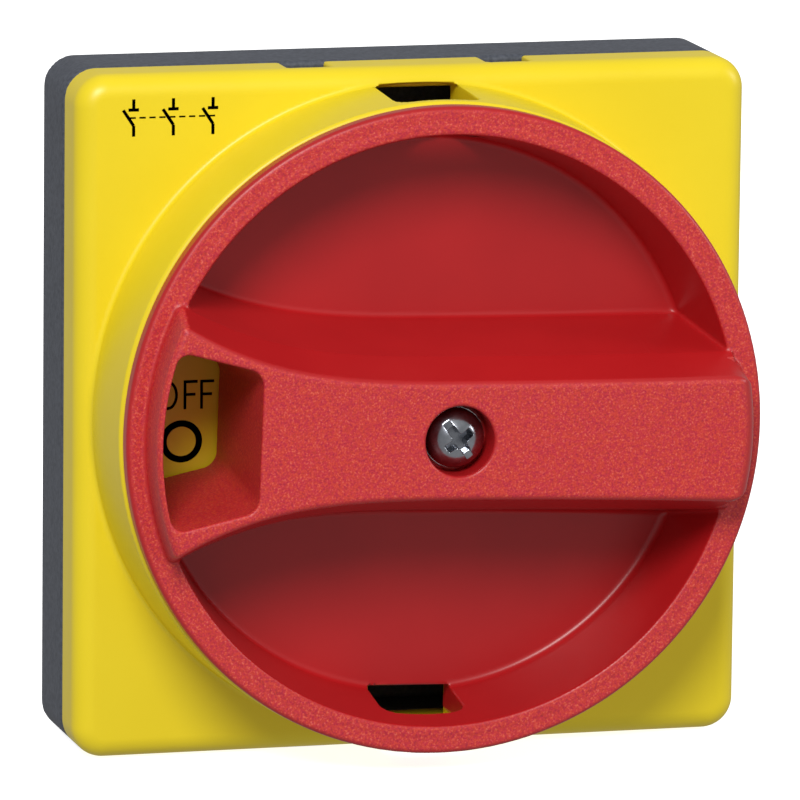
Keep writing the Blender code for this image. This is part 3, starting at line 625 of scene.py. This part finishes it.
def red_knob_plastic():
    n = Nodes("red_knob_plastic")
    grain = n.add("ShaderNodeAttribute", attribute_name="grain").outputs["Fac"]
    speckle = n.ramp(
        n.noise(5200.0, 1.5, 0.6),
        (0.30, linear(158, 24, 40)), (0.45, linear(190, 34, 41)),
        (0.58, linear(203, 50, 44)), (0.74, linear(228, 108, 84)),
    )
    tint = n.ramp(n.noise(3100.0, 1.0), (0.38, linear(182, 36, 70)), (0.62, linear(210, 74, 42)))
    textured = n.mix(0.30, speckle, tint)
    smooth = n.ramp(n.noise(90.0, 2.0), (0.3, linear(172, 22, 26)), (0.7, linear(180, 26, 29)))
    n.link(n.mix(grain, smooth, textured), n.shader.inputs["Base Color"])
    n.link(n.span(grain, 0.34, 0.52), n.shader.inputs["Roughness"])
    n.bump(n.noise(3600.0, 2.0, 0.6), 0.00006, n.span(grain, 0.04, 0.55))
    return n.material


def yellow_cover_plastic():
    n = Nodes("yellow_cover_plastic")
    colour = n.ramp(n.noise(60.0, 3.0), (0.3, linear(232, 206, 22)), (0.7, linear(236, 211, 28)))
    n.link(colour, n.shader.inputs["Base Color"])
    n.link(n.span(n.noise(900.0, 2.0), 0.34, 0.44), n.shader.inputs["Roughness"])
    n.bump(n.noise(1500.0, 2.0), 0.00002, 0.25)
    return n.material


def grained_plastic(name, dark, light, roughness=0.6, relief=0.5):
    """Moulded plastic with the fine matt grain of an eroded tool."""
    n = Nodes(name)
    n.link(n.ramp(n.noise(2600.0, 2.0, 0.6), (0.35, dark), (0.65, light)), n.shader.inputs["Base Color"])
    n.link(n.span(n.noise(700.0, 2.0), roughness - 0.06, roughness + 0.06), n.shader.inputs["Roughness"])
    n.bump(n.noise(2400.0, 2.0, 0.6), 0.00006, relief)
    return n.material


def metal(name, dark, light, roughness):
    n = Nodes(name)
    n.shader.inputs["Metallic"].default_value = 1.0
    n.link(n.ramp(n.noise(420.0, 4.0, 0.6), (0.3, dark), (0.7, light)), n.shader.inputs["Base Color"])
    n.link(n.span(n.noise(1100.0, 3.0), roughness - 0.08, roughness + 0.10), n.shader.inputs["Roughness"])
    n.bump(n.noise(1800.0, 3.0), 0.00002, 0.3)
    return n.material


def printing_ink():
    n = Nodes("printing_ink")
    n.link(
        n.ramp(n.noise(1500.0, 2.0), (0.3, linear(22, 22, 24)), (0.7, linear(34, 34, 36))),
        n.shader.inputs["Base Color"],
    )
    n.shader.inputs["Roughness"].default_value = 0.5
    return n.material


def paint(thing, material):
    thing.data.materials.clear()
    thing.data.materials.append(material)


RED = red_knob_plastic()
YELLOW = yellow_cover_plastic()
GREY = grained_plastic("slate_grey_plastic", linear(62, 66, 75), linear(80, 84, 94))
BLACK = grained_plastic("black_plastic", linear(28, 28, 30), linear(38, 38, 41))
LIGHT = grained_plastic("light_plastic", linear(196, 196, 190), linear(208, 208, 202), 0.5, 0.3)
# The knob screw's zinc is much darker than the other zinc parts. This is painted dark reflection standing in
# for the dark surroundings mirrored in its head.
SCREW_ZINC_PAINTED_DARK = metal("knob_screw_zinc_painted_dark", (0.20, 0.21, 0.24), (0.46, 0.48, 0.52), 0.22)
RUBBER = grained_plastic("black_rubber", linear(20, 20, 21), linear(30, 30, 31), 0.8, 0.6)
ZINC = metal("zinc_plated_steel", (0.50, 0.52, 0.55), (0.72, 0.74, 0.76), 0.26)
BRASS = metal("turned_brass", (0.62, 0.42, 0.16), (0.78, 0.56, 0.24), 0.30)
COPPER = metal("punched_copper", (0.66, 0.36, 0.22), (0.82, 0.48, 0.32), 0.32)
INK = printing_ink()

SLOT_FINISHES = {
    "grey_plastic": GREY, "yellow_plastic": YELLOW, "red_plastic": RED, "black_plastic": BLACK,
    "light_plastic": LIGHT, "rubber": RUBBER, "zinc_steel": ZINC, "brass": BRASS, "copper": COPPER,
}


def finish_cad_nodes():
    for entry in frame["record"]["subparts"]:
        paint(frame["nodes"][entry["node"]], SLOT_FINISHES[entry["material_slot"]])


def add_piece(thing, body, slot, material, *nodes):
    paint(thing, material)
    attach(thing, body)
    if nodes:
        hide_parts(*nodes)
    return thing


# ---------------------------------------------------------------- pieces

def front_operator():
    reach = RIM_OUT + 0.6
    add_piece(
        surface_mesh(
            "knob_shell", knob_field, (-reach, -BAR_FRONT - 0.6, -reach), (reach, -KNOB_REAR + 0.6, reach),
            0.25, 0.3, knob_grain),
        ROTOR, "red_plastic", RED, "knob")
    reach = PLATE_HALF + 0.6
    add_piece(
        surface_mesh(
            "cover_shell", cover_field,
            (-reach, -COLLAR_TOP - 0.6, -reach), (reach, -COVER_REAR + 0.6, reach), 0.3, 0.3),
        HOUSING, "yellow_plastic", YELLOW, "front_cover")
    add_piece(
        surface_mesh(
            "base_shell", base_field, (-reach, -12.0, -reach), (reach, 0.6, reach), 0.3, 0.3),
        HOUSING, "grey_plastic", GREY, "mounting_base")
    add_piece(
        surface_mesh(
            "knob_screw_detail", knob_screw_field, (-3.2, -31.6, -3.2), (3.2, -14.0, 3.2), 0.08, 0.4),
        ROTOR, "zinc_steel", SCREW_ZINC_PAINTED_DARK, "knob_screw")


def repeated(name, thing, slot, material, places):
    """Put a copy of one shape at each (CAD node, place in millimetres, turn about Y in degrees)."""
    for number, (node, place, turn) in enumerate(places, 1):
        copy = bpy.data.objects.new(f"{name}_{number}", thing.data)
        bpy.context.collection.objects.link(copy)
        copy.location = Vector(place) * MM
        copy.rotation_euler.y = math.radians(turn)
        add_piece(copy, HOUSING, slot, material, node)
    bpy.data.objects.remove(thing)


def rear_switch():
    deck_starts = {deck: (0.0, DECK_FIRST + (deck - 1) * DECK_PITCH, 0.0) for deck in (1, 2, 3)}
    terminals = [
        (f"{deck}_{end}", start, turn)
        for deck, start in deck_starts.items() for end, turn in (("top", 0.0), ("bottom", 180.0))]
    corners = [(x, 0.0, z) for z in (FIX_AT, -FIX_AT) for x in (-FIX_AT, FIX_AT)]
    add_piece(
        surface_mesh("flange_shell", flange_field, (-24.6, 2.4, -24.6), (24.6, 10.6, 24.6), 0.3, 0.3),
        HOUSING, "grey_plastic", GREY, "switch_flange")
    add_piece(
        surface_mesh("latch_shell", latch_field, (-19.6, 5.7, -19.6), (19.6, 14.8, 19.6), 0.3, 0.3),
        HOUSING, "black_plastic", BLACK, "latch_housing")
    add_piece(
        surface_mesh("end_cap_shell", end_cap_field, (-20.6, 36.7, -20.6), (20.6, 40.7, 20.6), 0.3, 0.3),
        HOUSING, "grey_plastic", GREY, "end_cap")
    repeated(
        "deck_shell",
        surface_mesh("deck", deck_field, (-20.6, -0.6, -20.6), (20.6, 7.9, 20.6), 0.3, 0.3),
        "grey_plastic", GREY, [(f"deck_housing_{deck}", start, 0.0) for deck, start in deck_starts.items()])
    repeated(
        "brass_insert",
        surface_mesh("insert", insert_field, (-3.2, 3.2, -3.2), (3.2, 10.1, 3.2), 0.15, 0.4),
        "brass", BRASS,
        [(f"threaded_insert_{number}", place, 0.0) for number, place in enumerate(corners, 1)])
    repeated(
        "slotted_tie_bolt",
        surface_mesh("tie_bolt", tie_bolt_field, (-3.1, 10.9, -3.1), (3.1, 40.2, 3.1), 0.15, 0.3),
        "zinc_steel", ZINC,
        [("tie_bolt_1", (-TIE_AT, 0.0, TIE_AT), 0.0), ("tie_bolt_2", (TIE_AT, 0.0, -TIE_AT), 0.0)])
    repeated(
        "slotted_terminal_screw",
        surface_mesh("screw", terminal_screw_field, (-2.7, 0.5, 14.0), (2.7, 5.9, 19.6), 0.12, 0.3),
        "zinc_steel", ZINC, [(f"terminal_screw_{end}", start, turn) for end, start, turn in terminals])
    repeated(
        "clamp_plate",
        surface_mesh("clamp", wire_clamp_field, (-2.9, 0.3, 15.8), (2.9, 6.1, 17.4), 0.12, 0.3),
        "zinc_steel", ZINC, [(f"wire_clamp_{end}", start, turn) for end, start, turn in terminals])


def print_object(name, shape):
    """A bmesh in the XZ plane, in millimetres, as a piece of printing on the cover's face."""
    for vertex in shape.verts:
        vertex.co = Vector((vertex.co.x, -COVER_FACE - 0.015, vertex.co.z)) * MM
    mesh = bpy.data.meshes.new(name)
    bmesh.ops.solidify(shape, geom=shape.faces[:], thickness=0.00001)
    bmesh.ops.recalc_face_normals(shape, faces=shape.faces)
    shape.to_mesh(mesh)
    shape.free()
    thing = bpy.data.objects.new(name, mesh)
    bpy.context.collection.objects.link(thing)
    return add_piece(thing, HOUSING, "black_plastic", INK)


def add_stroke(shape, start, end, width):
    """A straight line of ink with square ends."""
    along = Vector((end[0] - start[0], 0.0, end[1] - start[1])).normalized() * (width / 2.0)
    side = Vector((-along.z, 0.0, along.x))
    first = Vector((start[0], 0.0, start[1]))
    last = Vector((end[0], 0.0, end[1]))
    corners = (first - side, last - side, last + side, first + side)
    shape.faces.new([shape.verts.new(corner) for corner in corners])


def add_ring(shape, centre, radius, width, height=None, steps=48):
    """A ring of ink, or an upright oval one where height is given."""
    height = height or radius
    loops = []
    for grow in (-width / 2.0, width / 2.0):
        loops.append([
            shape.verts.new((
                centre[0] + (radius + grow) * math.cos(2.0 * math.pi * step / steps), 0.0,
                centre[1] + (height + grow) * math.sin(2.0 * math.pi * step / steps)))
            for step in range(steps)
        ])
    for step in range(steps):
        after = (step + 1) % steps
        shape.faces.new((loops[0][step], loops[0][after], loops[1][after], loops[1][step]))


RING_AT = (-22.45, -2.25)
RING_R = 1.71
RING_WIDTH = 0.62
LETTER_BOTTOM = 0.8
LETTER_HEIGHT = 2.75
LETTER_WIDTH = 1.35
LETTER_PITCH = 1.6
LAST_LETTER_X = -20.65
ROUND_LETTER_WIDTH = 1.9
INK_WIDTH = 0.27


def legend_off():
    """The word OFF over a ring, left of the knob's axis."""
    shape = bmesh.new()
    top = LETTER_BOTTOM + LETTER_HEIGHT
    for letter in (0, 1):
        x = LAST_LETTER_X - letter * LETTER_PITCH + INK_WIDTH / 2.0
        add_stroke(shape, (x, LETTER_BOTTOM), (x, top), INK_WIDTH)
        for height, length in ((top - INK_WIDTH / 2.0, LETTER_WIDTH), (top - 1.35, LETTER_WIDTH * 0.85)):
            add_stroke(shape, (x, height), (x - INK_WIDTH / 2.0 + length, height), INK_WIDTH)
    round_x = LAST_LETTER_X - LETTER_PITCH - 0.55 - ROUND_LETTER_WIDTH / 2.0
    add_ring(
        shape, (round_x, LETTER_BOTTOM + LETTER_HEIGHT / 2.0), (ROUND_LETTER_WIDTH - INK_WIDTH) / 2.0,
        INK_WIDTH, (LETTER_HEIGHT - INK_WIDTH) / 2.0)
    add_ring(shape, RING_AT, RING_R, RING_WIDTH, steps=64)
    print_object("legend_off", shape)


def legend_on():
    """The word ON beside an upright stroke, above the knob's axis, under the window when switched on."""
    shape = bmesh.new()
    z = 22.2
    bottom = z - LETTER_HEIGHT / 2.0
    top = bottom + LETTER_HEIGHT
    add_ring(shape, (-2.4, z), (LETTER_WIDTH - INK_WIDTH) / 2.0, INK_WIDTH, (LETTER_HEIGHT - INK_WIDTH) / 2.0)
    left, right = -1.2, 0.1
    add_stroke(shape, (left, bottom), (left, top), INK_WIDTH)
    add_stroke(shape, (left, top), (right, bottom), INK_WIDTH)
    add_stroke(shape, (right, bottom), (right, top), INK_WIDTH)
    add_stroke(shape, (2.1, bottom - 0.2), (2.1, top + 0.2), RING_WIDTH)
    print_object("legend_on", shape)


def pole_symbol():
    """A generic circuit symbol of a three-pole disconnector, printed in the cover's upper left corner."""
    shape = bmesh.new()
    width = 0.3
    for x in (-27.2, -23.4, -19.6):
        add_stroke(shape, (x, 26.8), (x, 27.8), width)
        add_stroke(shape, (x, 27.8), (x - 1.0, 29.3), width)
        add_stroke(shape, (x, 29.3), (x, 30.3), width)
        add_stroke(shape, (x - 0.5, 29.3), (x + 0.5, 29.3), width)
    for dash in range(9):
        x = -27.3 + dash * 0.95
        add_stroke(shape, (x - 0.3, 28.55), (x + 0.3, 28.55), 0.16)
    print_object("pole_symbol", shape)


# ---------------------------------------------------------------- stage, light and camera

def stage():
    bpy.ops.mesh.primitive_plane_add(size=6.0, location=(0.0, 0.0, CAD_BOX[0][2] - 0.0002))
    floor = bpy.context.object
    floor.name = "floor"
    n = Nodes("pale_floor")
    colour = n.ramp(n.noise(3.0), (0.4, (0.93, 0.93, 0.93)), (0.6, (0.95, 0.95, 0.95)))
    n.link(colour, n.shader.inputs["Base Color"])
    n.shader.inputs["Roughness"].default_value = 0.9
    n.shader.inputs["Emission Color"].default_value = (1.0, 1.0, 1.0, 1.0)
    n.shader.inputs["Emission Strength"].default_value = 0.85
    floor.data.materials.append(n.material)
    floor.visible_diffuse = False
    floor.visible_glossy = False


def area_light(name, place, size, power, aim=(0.0, -0.015, 0.0)):
    light = bpy.data.lights.new(name, "AREA")
    light.shape = "DISK"
    light.size = size
    light.energy = power
    thing = bpy.data.objects.new(name, light)
    bpy.context.collection.objects.link(thing)
    thing.location = place
    thing.rotation_euler = (Vector(aim) - Vector(place)).to_track_quat("-Z", "Y").to_euler()


def lights():
    area_light("key", (-0.32, -0.80, 0.62), 0.42, 8.6)
    area_light("right_edge", (0.75, -0.25, 0.30), 0.30, 1.6)
    world = bpy.data.worlds.new("studio")
    world.use_nodes = True
    background = world.node_tree.nodes["Background"]
    background.inputs["Color"].default_value = (1.0, 1.0, 1.0, 1.0)
    background.inputs["Strength"].default_value = 0.40
    bpy.context.scene.world = world
    bpy.context.scene.view_settings.view_transform = "Standard"


CAMERA_AT = Vector((-0.2295, -0.8508, 0.1619))
CAMERA_AIM = Vector((0.00272, 0.0, -0.00191))
CAMERA_LENS = 421.0
CAMERA_ROLL = 0.62


def camera():
    lens = bpy.data.cameras.new("camera")
    lens.lens = CAMERA_LENS
    lens.sensor_width = 36.0
    lens.clip_start = 0.05
    lens.clip_end = 20.0
    thing = bpy.data.objects.new("camera", lens)
    bpy.context.collection.objects.link(thing)
    facing = (CAMERA_AIM - CAMERA_AT).to_track_quat("-Z", "Y").to_matrix()
    roll = Matrix.Rotation(math.radians(CAMERA_ROLL), 3, "Z")
    thing.matrix_world = Matrix.Translation(CAMERA_AT) @ (facing @ roll).to_4x4()
    bpy.context.scene.camera = thing


finish_cad_nodes()
front_operator()
rear_switch()
legend_off()
legend_on()
pole_symbol()
stage()
lights()
camera()
